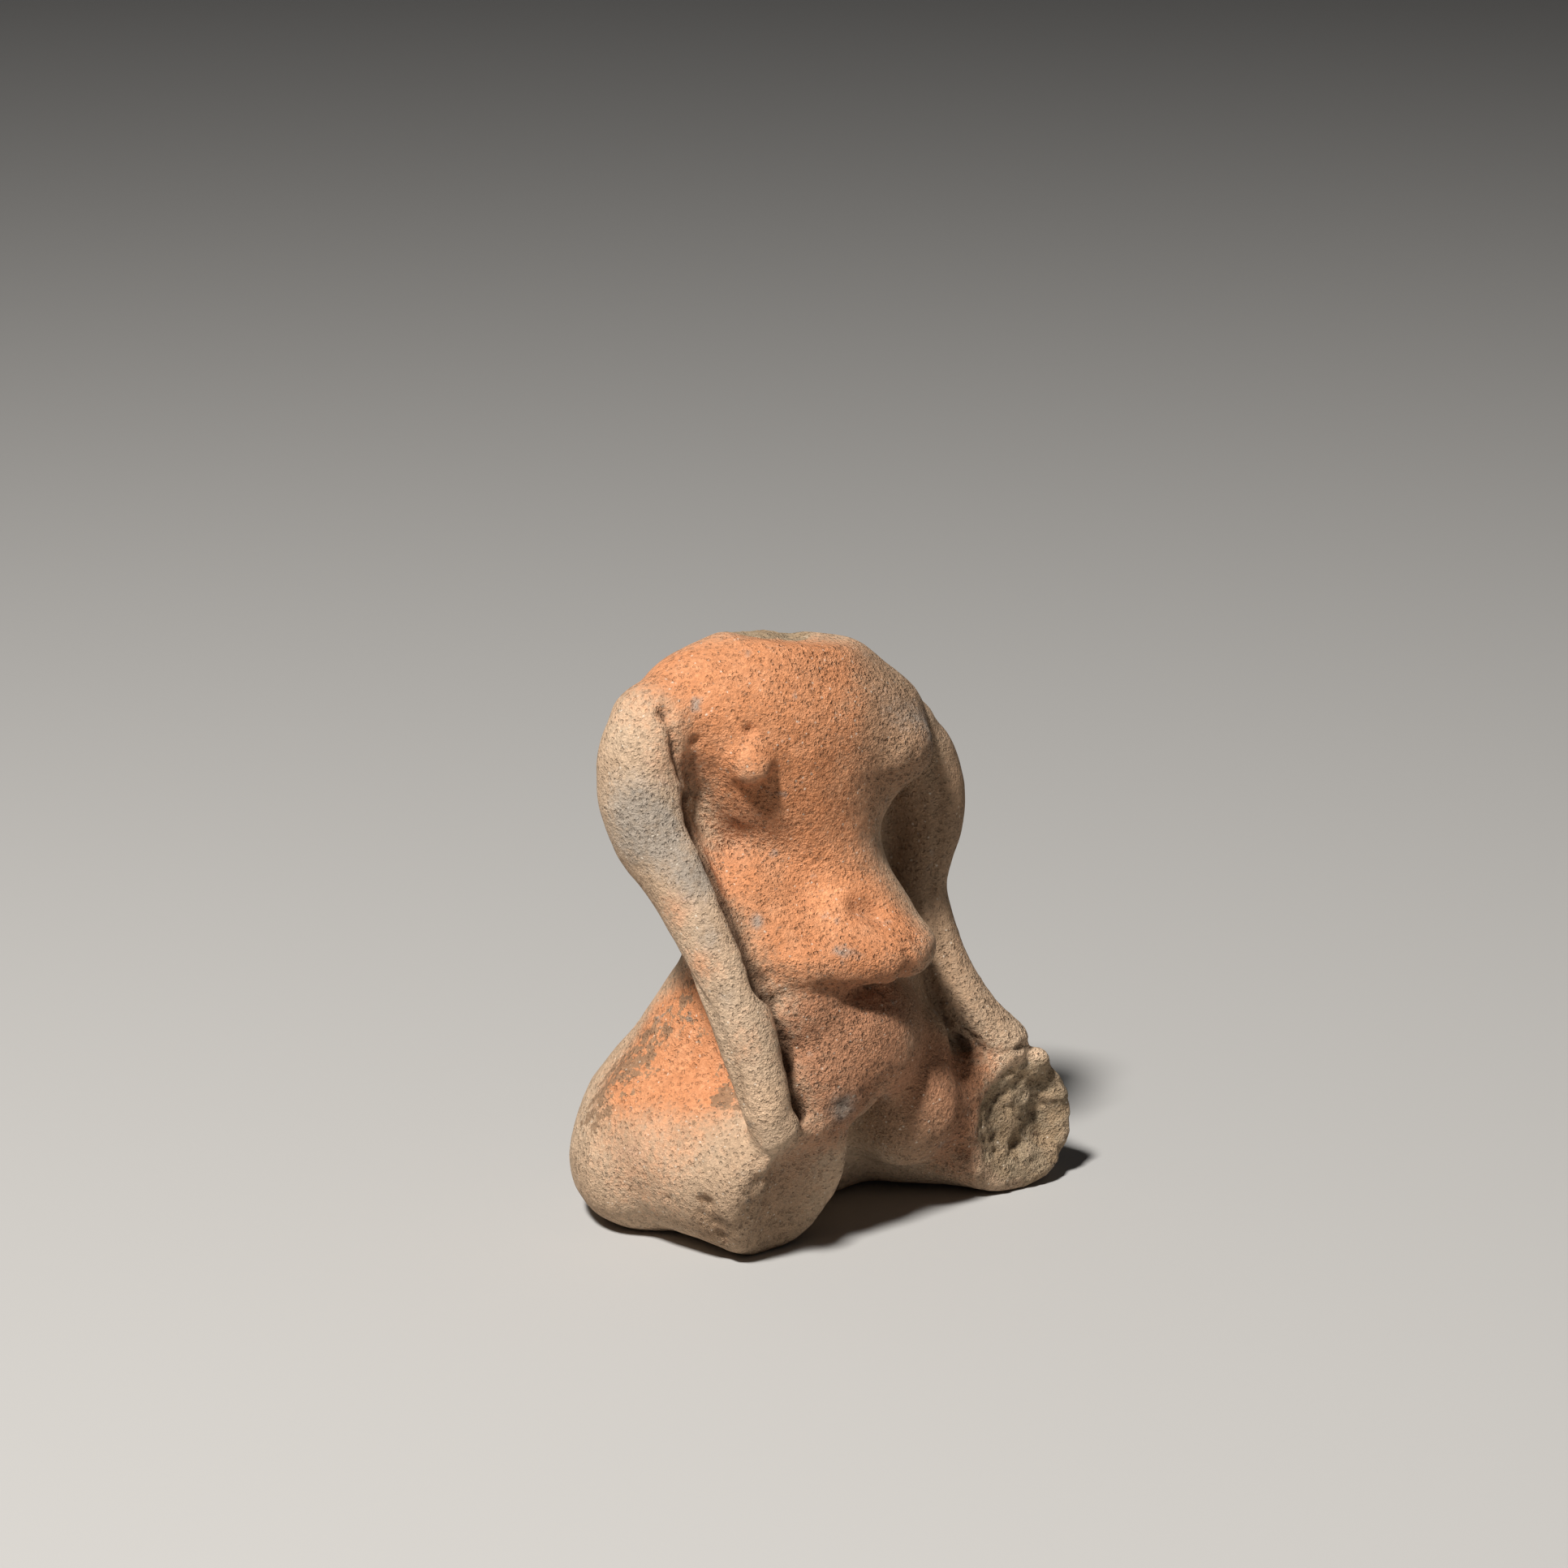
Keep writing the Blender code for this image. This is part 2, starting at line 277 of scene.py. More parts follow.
BELLY_CREST = [
    (-12.1, -17.0, 36.8), (-8.5, -18.6, 37.0), (-5.1, -20.5, 36.6), (-1.9, -21.2, 36.4),
    (1.6, -21.0, 37.2),
]
LINES = [  # path, half width, depth (below 0 for a ridge) and extra depth in the valley, all in mm
    (ARM_SEAM_TOP, 0.60, 0.80, 0.6),
    (ARM_SEAM_DEEP, 2.00, 2.30, 0.3),
    (ARM_SEAM_LOW, 0.60, 0.75, 1.0),
    (ARM_OUTER_SEAM, 0.55, 0.40, 0.7),
    (LEFT_ARM_SEAM, 0.70, 0.40, 0.8),
    (LEFT_HAND_EDGE, 0.50, 0.75, 0.4),
    (BELLY_FOLD, 0.90, 0.35, 0.5),
    (CROTCH, 0.80, 0.40, 0.5),
    (KNEE_RIDGE, 1.25, -0.55, 0.0),
    (BELLY_CREST, 1.60, -0.15, 0.0),
]
VALLEY_REACH = 3.3  # how far from a line its valley may lie, in mm
HOLLOW = (0.10, 0.55)  # how hollow the skin is, in mm, where a valley starts and where it counts in full
WAVER = 0.3  # how far a line strays, in mm, as no hand draws a straight one
WIDE_RUB = 61  # passes that show the large forms alone, to measure hollows against


def away_from(places, path):
    """Distance from each point to the nearest spot on a bent line: to each straight stretch in turn."""
    path = np.array(path, float)
    nearest = np.full(len(places), 1e9)
    for a, b in zip(path, path[1:]):
        along = np.clip((places - a) @ (b - a) / ((b - a) @ (b - a)), 0, 1)
        nearest = np.minimum(nearest, np.linalg.norm(places - a - along[:, None] * (b - a), axis=1))
    return nearest


def hollowness(places, passes):
    """How far, in mm, a thumbed skin stands over each point: above 0 in a hollow, below 0 on a crest."""
    return np.einsum("ij,ij->i", thumbed(places, passes) - places, facing(places))


valley = step(hollowness(points, WIDE_RUB), *HOLLOW)
seam = np.zeros(count)
ridge = np.zeros(count)
for path, width, depth, extra in LINES:
    far = away_from(points, path) + WAVER * hills(points, 2.2, 5)
    drawn = np.exp(-((far / width) ** 2))
    near = step(far, VALLEY_REACH, VALLEY_REACH * 0.4)
    seam = np.maximum(seam, max(depth, 0) * drawn + extra * valley * near)
    ridge = np.maximum(ridge, max(-depth, 0) * drawn)
points += facing(points) * (ridge - seam)[:, None]
print("seams pressed:", (seam > 0.2).sum(), "points moved, the deepest by", seam.max().round(2), "mm")

# %% [markdown]
# ## Single dents and lumps
#
# A few marks are too plain to leave to chance: the dip on the belly, thumb hollows, chips on the right knee,
# the nib of the right breast, the knob over the left knee. Each is a soft bell, which falls off with the
# square of the distance over the size given, and a list keeps them easy to add to. In four places the clay is
# thumbed smooth before the marks go in.

# %% Dents and lumps
DENTS = [  # place, size, depth (below 0 for a lump), all in mm
    ((-12.4, -13.4, 39.4), 3.2, -1.20),  # the belly's right half, filled out
    ((-16.0, -12.8, 38.4), 2.5, -0.50),
    ((-4.0, -15.6, 41.2), 1.4, 0.95),  # dip on the belly
    ((-2.0, -16.3, 40.8), 1.6, 1.10),
    ((1.1, -20.3, 37.6), 0.75, 0.70),  # pits on the belly's tip
    ((-1.2, -21.0, 36.7), 0.60, 0.50),
    ((-24.3, -4.7, 66.4), 0.9, 0.8),  # pit where the right arm starts
    ((-20.7, -5.9, 62.7), 0.6, 0.6),
    ((-15.3, -9.4, 63.7), 0.7, 0.7),
    ((-19.5, -15.8, 35.3), 1.3, 0.9),  # crumbled spot beside the belly
    ((-15.7, -10.2, 59.4), 2.5, -1.35),  # right breast
    ((-13.8, -10.0, 57.2), 1.8, 0.70),
    ((-18.4, -6.6, 58.6), 2.4, 0.35),
    ((8.4, -13.2, 58.0), 3.0, -0.45),  # left breast
    ((4.0, -13.0, 54.0), 2.4, 0.45),
    ((-21.5, -18.3, 14.6), 0.9, 0.5),  # chips at the right knee
    ((-25.2, -13.1, 8.4), 1.2, 0.9),
    ((-24.2, -13.6, 5.6), 1.5, 0.8),
    ((-25.2, -12.0, 6.6), 0.8, 0.5),
    ((-23.2, -13.2, 3.9), 0.8, 0.6),
    ((-22.6, -13.4, 3.0), 1.4, 0.5),
    ((-17.6, -18.4, 12.4), 3.4, 0.85),
    ((-17.8, -20.2, 18.6), 1.5, -0.40),
    ((-26.8, -5.0, 48.0), 3.0, 0.35),  # thumb hollows of the right arm
    ((-27.0, -1.0, 54.0), 3.4, -0.25),
    ((-9.0, -19.6, 18.6), 2.4, -0.45),  # lower lip of the lap
    ((-12.6, -19.3, 16.4), 1.8, -0.35),
    ((-10.0, -20.0, 19.4), 1.3, 0.45),
    ((13.6, -15.2, 16.6), 2.2, 0.50),  # crease at the left groin
    ((25.2, -16.6, 16.2), 1.7, -1.15),  # knob over the left knee
    ((17.6, -16.4, 11.4), 2.0, 0.75),  # hollows in the left knee's break
    ((24.0, -16.9, 8.0), 1.8, 0.80),
    ((21.3, -17.1, 5.2), 1.5, 0.70),
    ((25.6, -17.3, 5.4), 1.2, 0.50),
    ((19.7, -16.7, 7.4), 1.5, -0.45),
    ((22.6, -16.9, 11.9), 1.5, -0.35),
    ((12.1, -16.8, 7.3), 1.3, 0.80),
    ((13.6, -16.9, 8.8), 1.2, -0.45),
    ((8.6, -18.4, 12.0), 2.4, -0.30),
    ((-4.0, -10.0, 66.0), 5.0, 0.3),
    ((8.0, 17.0, 16.0), 5.0, 0.4),  # thumb hollows of the back
    ((-9.0, 18.0, 20.0), 5.5, 0.4),
    ((0.0, 10.0, 48.0), 6.0, 0.35),
    ((-5.0, 9.0, 60.0), 5.0, 0.3),
]
EVENED = [  # place and size, in mm, where a thumb smoothed the clay first
    ((-15.9, -11.0, 60.4), 3.0),
    ((-11.8, -12.4, 43.6), 4.0),
    ((17.2, -16.6, 16.2), 3.6),
    ((12.8, -16.8, 13.6), 3.0),
]
THUMB_RUB = 86  # passes


def bell(places, place, size):
    """1 at the place, falling as e to the minus square of distance over size."""
    return np.exp(-(((places - place) / size) ** 2).sum(axis=1))


evened = sum(bell(points, place, size) for place, size in EVENED).clip(0, 1)
points += (thumbed(points, THUMB_RUB) - points) * evened[:, None]
push = -sum(depth * bell(points, place, size) for place, size, depth in DENTS)
thumb_marks = 0.18 * hills(points, 9.0, 11) + 0.10 * hills(points, 4.5, 12) + 0.05 * hills(points, 2.4, 13)
standing = step(points[:, 2], 0.1, 1.5)  # the underside stays flat
points += facing(points) * ((push + thumb_marks) * standing)[:, None]
print(len(DENTS), "dents and lumps, from", push.min().round(2), "to", push.max().round(2), "mm")
print("thumb marks up to", abs(thumb_marks).max().round(2), "mm")

# %% [markdown]
# ## The three breaks
#
# Fired clay breaks like stale bread: the face is coarse, a little hollow, and its rim crumbles. Each break is
# a place, the way it faces and two half sizes. A point belongs to a break by how near it is to that oval and
# whether it faces the same way. That same number, times the share of bare core, later gives the break its own
# colour: the right knee wore as brown as the skin round it.

# %% Roughen the breaks
BREAKS = [  # middle, facing, half width, half height, roughness in mm, share of bare core from 0 to 1
    ((-3.2, 2.4, 71.6), (0.2, 0.1, 1.0), 6.6, 3.6, 0.30, 1.0),
    ((-15.1, -16.9, 8.4), (0.0, -0.93, -0.36), 9.2, 9.9, 0.16, 0.12),
    ((22.0, -17.5, 8.4), (-0.05, -1.0, 0.08), 8.6, 9.0, 0.75, 1.0),
]
ways = facing(points)
core = np.zeros(count)
bite = np.zeros((count, 3))
for middle, way, width, height, roughness, bare in BREAKS:
    way = np.array(way) / np.linalg.norm(way)
    side = np.array([1.0, 0, 0]) - way * way[0]
    side /= np.linalg.norm(side)
    spot = points - middle
    oval = np.hypot(spot @ side / width, spot @ np.cross(way, side) / height)
    ragged = 0.16 * hills(points, 3.4, 21) + 0.08 * hills(points, 1.4, 22)
    faces_out = step(np.abs(spot @ way), 4.5, 2.2) * step(ways @ way, 0.15, 0.6)
    on_face = step(oval + ragged, 1.08, 0.80) * faces_out
    crags = broken_hills(points, 3.6, 23, 3) * 0.9 + 0.40 * hills(points, 1.2, 27)
    crumbs, size_of = seeds(points, 1.5, 29)
    crumbs = step(crumbs, 0.85, 0.2) * (size_of - 0.5)
    depth = roughness * (crags + 0.9 * crumbs + 0.45 * (1 - oval**2).clip(0))
    bite -= way * (on_face * depth)[:, None]
    core = np.maximum(core, on_face * bare)
points += bite * standing[:, None]
print("break faces hold", (core > 0.5).sum(), "points")

# %% [markdown]
# ## Sand, pores and pits
#
# The clay was mixed with coarse sand. Where the surface wore off, grains stand proud, and where a grain fell
# out it left a pit. Both come from scattered seeds: a seed's own number says whether it is a grain or a pit
# and how big. The finest grains are smaller than a square of the skin, so they are left to the material.

# %% Sand and pits in the skin
GRAINY = [  # place, size and strength of the bare sand, which shows where the skin wore off
    ((2.0, -10.0, 60.0), 9.0, 0.8),
    ((9.0, -12.0, 57.0), 6.0, 0.6),
    ((-14.0, -8.0, 52.0), 6.0, 0.7),
    ((-20.5, -7.0, 58.0), 4.0, 0.6),
    ((-8.0, -17.5, 26.0), 9.0, 0.9),
    ((-9.0, -19.0, 17.0), 6.0, 0.6),
    ((0.0, -20.0, 35.0), 5.0, 0.6),
    ((-10.0, -17.0, 34.0), 5.0, 0.7),
    ((10.0, -17.0, 9.0), 8.0, 0.7),
    ((21.0, -17.5, 8.5), 10.0, 1.0),
    ((-21.0, -17.0, 10.0), 3.5, 0.8),
    ((-24.0, -13.0, 5.0), 4.0, 1.0),
    ((18.5, -14.0, 21.0), 5.0, 0.6),
    ((0.0, 12.0, 20.0), 9.0, 0.5),
]


def bells_at(places, bells):
    """The sum of a list of bells, held between 0 and 1."""
    return sum(amount * bell(places, place, size) for place, size, amount in bells).clip(0, 1)


ways = facing(points)
worn = hills(points, 7.0, 31)
grainy = (0.24 + 0.80 * bells_at(points, GRAINY) + 0.16 * worn + 0.35 * step(seam, 0.1, 0.6)).clip(0.12, 1)
grit, grit_size = seeds(points, 1.15, 33)
grit = 0.10 * step(grit, 0.50, 0.1) * step(grit_size, 0.3, 0.9)
pit, pit_size = seeds(points, 2.0, 37)
pit = 0.34 * step(pit, 0.25 + 0.45 * pit_size, 0.05) * step(pit_size, 0.62, 0.98)
big_pit, big_size = seeds(points, 6.5, 41)
big_pit = 0.50 * step(big_pit, 0.2 + 0.7 * big_size, 0.1) * (big_size > 0.72)
sandy = 0.05 * hills(points, 1.5, 43) + 0.07 * hills(points, 0.85, 44)
texture = grainy * (grit + sandy - pit) - big_pit * (0.4 + 0.6 * grainy)
points += ways * (texture * standing)[:, None]
low, high = (np.array(corner) / MM for corner in part_box)
outside = ((points < low) | (points > high)).any(axis=1)
points = np.clip(points, low, high)
points[underside, 2] = 0
print("texture from", texture.min().round(2), "to", texture.max().round(2), "mm")
print(outside.sum(), "points held in the part's box")

# %% [markdown]
# ## Where each colour lies
#
# The fire coloured this clay unevenly: orange where air reached it, buff and ash grey where it didn't, red
# under the belly. A picture laid over it would show its seams. Instead each point gets a few numbers, one for
# each colour, from soft bells placed on the body, and the material mixes its paints by them.

# %% Colour numbers for each point
WARM = [  # place, size in mm and strength of the orange
    ((-9.0, -7.0, 66.0), 10.0, 0.95),
    ((-16.0, -5.0, 66.0), 8.0, 0.70),
    ((-20.0, 1.0, 69.5), 6.0, 0.60),
    ((9.0, -12.0, 59.0), 6.0, 0.45),
    ((-23.4, 4.7, 19.7), 5.0, 0.45),
    ((-1.0, -8.0, 67.0), 8.0, 0.65),
    ((-13.0, -9.0, 58.0), 7.0, 0.65),
    ((-3.0, -10.0, 56.0), 7.0, 0.55),
    ((-8.0, -13.0, 45.0), 9.0, 0.80),
    ((-13.0, -13.5, 38.5), 6.0, 0.80),
    ((-5.0, -18.5, 37.0), 6.5, 0.75),
    ((-17.5, -8.0, 46.0), 5.0, 0.60),
    ((-1.0, -17.0, 39.5), 7.0, 0.60),
    ((-17.6, -2.0, 28.0), 6.0, 0.95),
    ((-19.0, -7.5, 21.5), 5.5, 0.95),
    ((-21.5, -2.0, 20.0), 7.0, 0.50),
    ((-18.9, 3.5, 24.8), 4.5, 0.85),
    ((-23.5, 3.0, 19.2), 5.0, 0.60),
    ((-23.0, -9.0, 14.5), 4.5, 0.30),
    ((-26.5, -5.0, 9.0), 6.0, 0.28),
    ((-28.0, 2.0, 12.0), 6.0, 0.22),
    ((-26.6, -9.5, 44.5), 2.6, 0.45),
    ((-25.6, -12.9, 38.0), 2.2, 0.40),
    ((-23.2, -17.6, 29.0), 2.4, 0.30),
    ((-26.5, -7.5, 60.5), 2.0, 0.45),
    ((-18.3, -16.8, 30.5), 2.2, 0.40),
    ((16.0, -16.0, 16.5), 4.0, 0.35),
    ((-4.0, 10.0, 60.0), 9.0, 0.6),
    ((12.0, 12.0, 30.0), 10.0, 0.6),
    ((-8.0, 16.0, 24.0), 9.0, 0.5),
]
RED = [  # the redder brown under the belly and between the thighs
    ((-10.0, -17.0, 27.0), 7.5, 1.10),
    ((-3.0, -18.0, 29.0), 7.5, 0.90),
    ((-10.0, -19.0, 18.0), 5.5, 0.60),
    ((-16.0, -17.0, 11.0), 6.0, 0.55),
    ((4.5, -18.0, 14.0), 6.0, 0.85),
    ((12.0, -16.0, 13.0), 5.0, 0.80),
    ((11.0, -17.0, 5.0), 6.0, 0.60),
    ((0.0, -9.0, 60.0), 7.5, 0.55),
    # painted shade: the belly's dip darkened
    ((-3.0, -16.2, 41.0), 2.0, 0.55),
    ((2.0, -18.0, 18.5), 4.5, 0.70),
    ((7.0, -16.5, 19.0), 5.0, 0.75),
    ((6.0, -13.5, 26.0), 5.0, 0.55),
    ((11.5, -15.5, 18.0), 4.0, 0.50),
    ((17.5, -11.0, 31.0), 4.5, 0.35),
    ((19.5, -5.5, 52.0), 6.0, 0.35),
    ((-14.0, -8.0, 53.0), 5.0, 0.55),
    ((-20.5, -6.5, 58.5), 3.0, 0.45),
    ((17.0, -14.5, 17.5), 3.5, 0.45),
    ((-22.5, 9.0, 60.0), 6.0, 0.25),
    ((10.0, 14.0, 14.0), 8.0, 0.4),
]
ASH = [  # blue-grey, where the fire was starved of air
    ((-28.4, -3.5, 56.5), 5.0, 0.75),
    ((-27.5, -5.0, 51.5), 4.5, 0.70),
    ((-24.6, -11.0, 46.6), 3.2, 0.60),
    ((-27.0, -7.0, 53.0), 3.0, 0.65),
    ((-24.7, -10.5, 48.8), 2.8, 0.70),
    ((-25.2, -13.8, 41.6), 2.4, 0.65),
    ((-24.3, -16.0, 34.8), 2.0, 0.55),
    ((-22.5, -18.8, 26.0), 2.6, 0.30),
    ((-22.1, -20.0, 21.5), 2.4, 0.25),
    ((-28.2, -1.0, 13.0), 4.5, 0.35),
    ((-10.2, -20.2, 19.0), 2.3, 1.0),
    ((-1.8, -16.0, 17.0), 2.4, 0.8),
    ((10.0, -12.0, 60.5), 3.6, 0.75),
    ((4.5, -12.0, 63.5), 4.0, 0.45),
    ((11.5, -9.0, 56.0), 4.0, 0.5),
    ((-20.2, -5.4, 67.1), 0.8, 1.0),
    ((-12.0, -5.1, 71.6), 0.7, 0.8),
    ((4.2, -6.4, 68.8), 1.1, 0.8),
    ((-16.5, -12.0, 41.3), 1.1, 1.0),
    ((-9.1, -18.3, 37.4), 1.0, 0.8),
    ((-7.4, -18.9, 37.0), 1.0, 0.8),
    ((-0.9, -17.6, 39.5), 0.9, 0.6),
    ((-7.3, -15.6, 40.2), 0.5, 1.0),
    ((16.0, 0.0, 52.0), 6.0, 0.4),
    ((0.0, 12.0, 40.0), 9.0, 0.5),
    ((-20.0, 12.0, 8.0), 8.0, 0.4),
]
CRUST = [  # grey-brown flakes of old soil
    ((-17.0, 1.0, 28.5), 3.2, 0.85),
    ((-19.5, 4.0, 24.0), 3.6, 0.45),
    ((-18.0, -4.0, 24.8), 3.0, 0.65),
    ((-18.8, -9.0, 20.0), 2.8, 0.90),
    ((-19.4, -11.3, 19.0), 2.0, 0.60),
    ((-22.5, 5.0, 22.0), 5.0, 0.95),
    ((-26.0, 7.0, 15.0), 5.0, 0.90),
    ((-23.5, -9.0, 16.0), 4.0, 0.55),
    ((-27.5, -1.0, 9.0), 4.5, 0.45),
    ((-25.3, -12.6, 8.6), 1.5, 1.1),
    ((-23.0, -13.0, 3.5), 3.0, 0.5),
    ((-21.0, -6.5, 62.0), 3.2, 0.4),
    ((8.0, -8.0, 65.0), 4.5, 0.5),
    ((14.0, -5.0, 62.0), 4.0, 0.4),
    ((-12.0, 18.0, 10.0), 8.0, 0.6),
    ((18.0, 6.0, 24.0), 7.0, 0.5),
]
STAIN_AND_SHADE_SPOTS = [  # partly an earth stain, partly painted shade: browner on the side away from the window, in the gaps beside the arms and on the knee fronts
    ((7.0, -9.0, 66.0), 7.0, 0.65),
    ((6.0, -11.0, 56.0), 7.0, 0.60),
    ((18.0, -3.0, 56.0), 8.0, 0.80),
    ((19.0, -4.0, 42.0), 9.0, 0.75),
    ((17.5, -12.0, 25.0), 6.5, 0.60),
    ((4.0, -15.0, 42.0), 4.5, 0.50),
    ((-2.6, -16.2, 41.0), 1.7, 0.70),
    ((2.0, -16.0, 26.0), 6.0, 0.60),
    ((9.0, -9.0, 26.0), 7.0, 0.60),
    ((-14.0, -8.5, 51.0), 4.5, 0.40),
    ((15.0, -6.5, 46.0), 5.5, 0.90),
    ((14.0, -8.5, 32.0), 5.5, 0.80),
    ((3.0, -10.0, 62.0), 7.0, 0.65),
    ((-2.0, -11.0, 54.0), 5.0, 0.35),
    ((-16.0, -16.5, 9.0), 6.5, 0.70),
    ((4.0, -18.0, 10.0), 6.0, 0.75),
    ((-1.0, -15.0, 14.0), 4.0, 1.00),
    ((-21.3, -17.5, 12.0), 3.4, 0.50),
    ((-24.5, -12.5, 6.0), 2.6, 0.60),
    ((-23.5, -12.5, 4.0), 4.0, 0.50),
    ((-15.0, -15.0, 4.0), 6.0, 0.45),
]
PAINTED_LIGHT_AND_WEAR = [  # painted light: high spots that the lamp catches most, made paler, partly also rubbed paler by hands and soil
    ((-21.5, -20.2, 22.5), 3.4, 0.80),
    ((19.3, -16.7, 16.8), 3.2, 1.00),
    ((14.8, -16.2, 15.8), 2.8, 0.80),
    ((23.5, -16.6, 16.9), 2.6, 0.70),
    ((-5.0, -13.5, 45.0), 5.0, 0.35),
    ((-9.0, -15.0, 41.0), 4.0, 0.25),
]

ways = facing(points)
fine = hollowness(points, 6)
wide = hollowness(points, WIDE_RUB)
numbers = {
    "warm": bells_at(points, WARM),
    "red": bells_at(points, RED),
    "ash": bells_at(points, ASH),
    "crust": bells_at(points, CRUST),
    "brown": bells_at(points, STAIN_AND_SHADE_SPOTS),
    # painted light, partly wear: the paler high spots
    "rubbed": bells_at(points, PAINTED_LIGHT_AND_WEAR),
    "grainy": grainy,
    "core": core,
    # painted shade: darker in the fine and wide hollows of the skin and along the seams
    "hollow_shade": (step(fine, 0.05, 0.26) * 0.55 + step(wide, 0.45, 1.4) + 0.9 * step(seam, 0.3, 1.1)).clip(0, 1),
    "crest": step(-fine, 0.03, 0.16),
}
for name, values in numbers.items():
    skin.attributes.new(name, "FLOAT", "POINT").data.foreach_set("value", values)
    print(f"{name}: mean {values.mean():.2f}")

# %% Put the skin on the figure
skin.polygons.foreach_set("use_smooth", np.ones(len(skin.polygons), bool))
figure = bpy.data.objects.new("clay_figure", skin)
bpy.context.scene.collection.objects.link(figure)
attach(figure, "root")
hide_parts("statuette")
print("the figure spans, in mm:", np.ptp(points, axis=0).round(1))

# %% [markdown]
# ## Building a material in code
#
# A node tree is a sum written as boxes and wires. Four small helpers keep it readable: one adds any box, and
# the others add the three kinds used most, which are arithmetic, a soft step and a mix of two colours.

# %% Helpers for node trees
def add(tree, kind, settings=None, **inputs):
    """A node of that kind; a socket given for an input is wired to it, and any other value is set on it."""
    made = tree.nodes.new("ShaderNode" + kind)
    for name, value in (settings or {}).items():
        setattr(made, name, value)
    for name, value in inputs.items():
        plug(tree, made.inputs[name.replace("_", " ")], value)
    return made


def plug(tree, socket, value):
    """Wires a socket to another, or sets its value."""
    if isinstance(value, bpy.types.NodeSocket):
        tree.links.new(value, socket)
    else:
        socket.default_value = value


def maths(tree, operation, *values):
    """One step of arithmetic on numbers or sockets."""
    made = tree.nodes.new("ShaderNodeMath")
    made.operation = operation
    for socket, value in zip(made.inputs, values):
        plug(tree, socket, value)
    return made.outputs[0]


def soft_step(tree, value, start, end):
    """0 before start and 1 after end, smooth between."""
    made = add(
        tree, "MapRange", {"interpolation_type": "SMOOTHSTEP"},
        Value=value, From_Min=start, From_Max=end, To_Min=0.0, To_Max=1.0,
    )
    return made.outputs["Result"]


def mix(tree, share, first, second, blend="MIX"):
    """The first colour turned to the second by that share."""
    made = tree.nodes.new("ShaderNodeMix")
    made.data_type = "RGBA"
    made.blend_type = blend
    plug(tree, made.inputs[0], share)
    for socket, colour in ((made.inputs[6], first), (made.inputs[7], second)):
        plug(tree, socket, colour if isinstance(colour, bpy.types.NodeSocket) else (*colour, 1))
    return made.outputs[2]


def cloud(tree, place, size, detail=3.0, roughness=0.6):
    """Cloudy noise about that many millimetres across, from 0 to 1."""
    made = add(
        tree, "TexNoise", Vector=place, Scale=1 / (size * MM), Detail=detail, Roughness=roughness,
    )
    return made.outputs["Fac"]


# %% [markdown]
# ## Sand as a shared effect
#
# The same sand runs through the old skin and the fresh breaks, so it is one node group with a grain size and
# a pore width to set, and any other clay can take it. Scattered cells stand for the grains: each cell has its
# own chance value, which tints it, and a few chosen ones are pale quartz, dark grit or an empty pore. The
# group puts out masks and a height, and the material decides on their colours.

# %% The sand group
SAND_IN = {"Place": "NodeSocketVector", "Grain": "NodeSocketFloat", "Pores": "NodeSocketFloat"}
SAND_OUT = ("Tint", "Quartz", "Grit", "Pores", "Height")
BEND = 0.45  # how far the noise bends the cells, in mm
SMALL_PORES = (0.52, 0.25, 0.18)  # cells so many times finer than the grain, rarity from 0 to 1, soft border
LARGE_PORES = (0.17, 0.87, 0.08)


